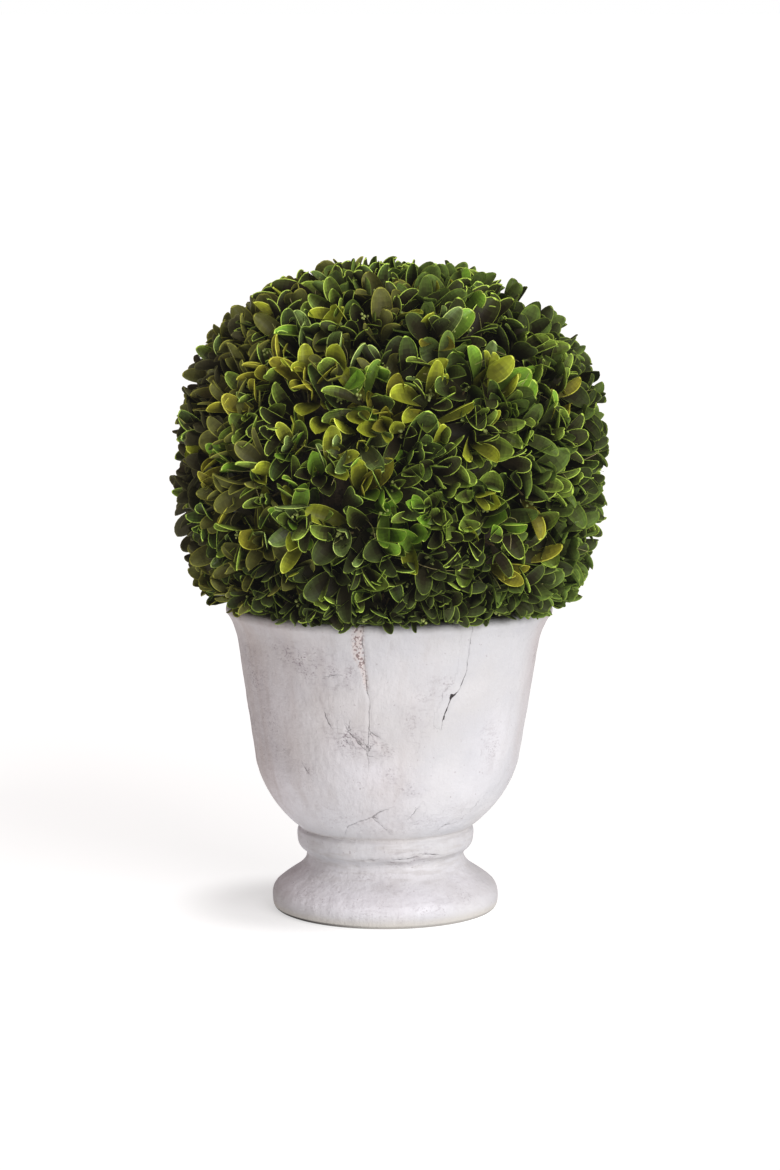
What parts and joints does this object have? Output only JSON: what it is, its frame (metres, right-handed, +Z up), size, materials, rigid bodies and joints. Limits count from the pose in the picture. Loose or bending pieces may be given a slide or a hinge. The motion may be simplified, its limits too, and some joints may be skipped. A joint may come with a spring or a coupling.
{
  "type": "potted clipped box ball",
  "caption": "A small-leaved evergreen clipped to a ball on a short hidden stem, standing in a whitewashed footed pot with a flared lip.",
  "frame": {"origin": "centre of the pot's flat underside", "axes": "+Z up along the pot's foot, +X to the right as seen from the picture's side, which looks along +Y"},
  "size_m": [0.2504, 0.2513, 0.3749],
  "materials": {
    "whitewashed_terracotta": "matt, chalky, with hairline cracks and chips",
    "potting_soil": "crumbly, matt",
    "stem_bark": "rough, fissured",
    "box_leaves": "satin, waxy"
  },
  "bodies": {
    "root": {"pot": "whitewashed_terracotta", "potting_soil": "potting_soil", "trunk": "stem_bark", "foliage_ball": "box_leaves"}
  },
  "joints": []
}
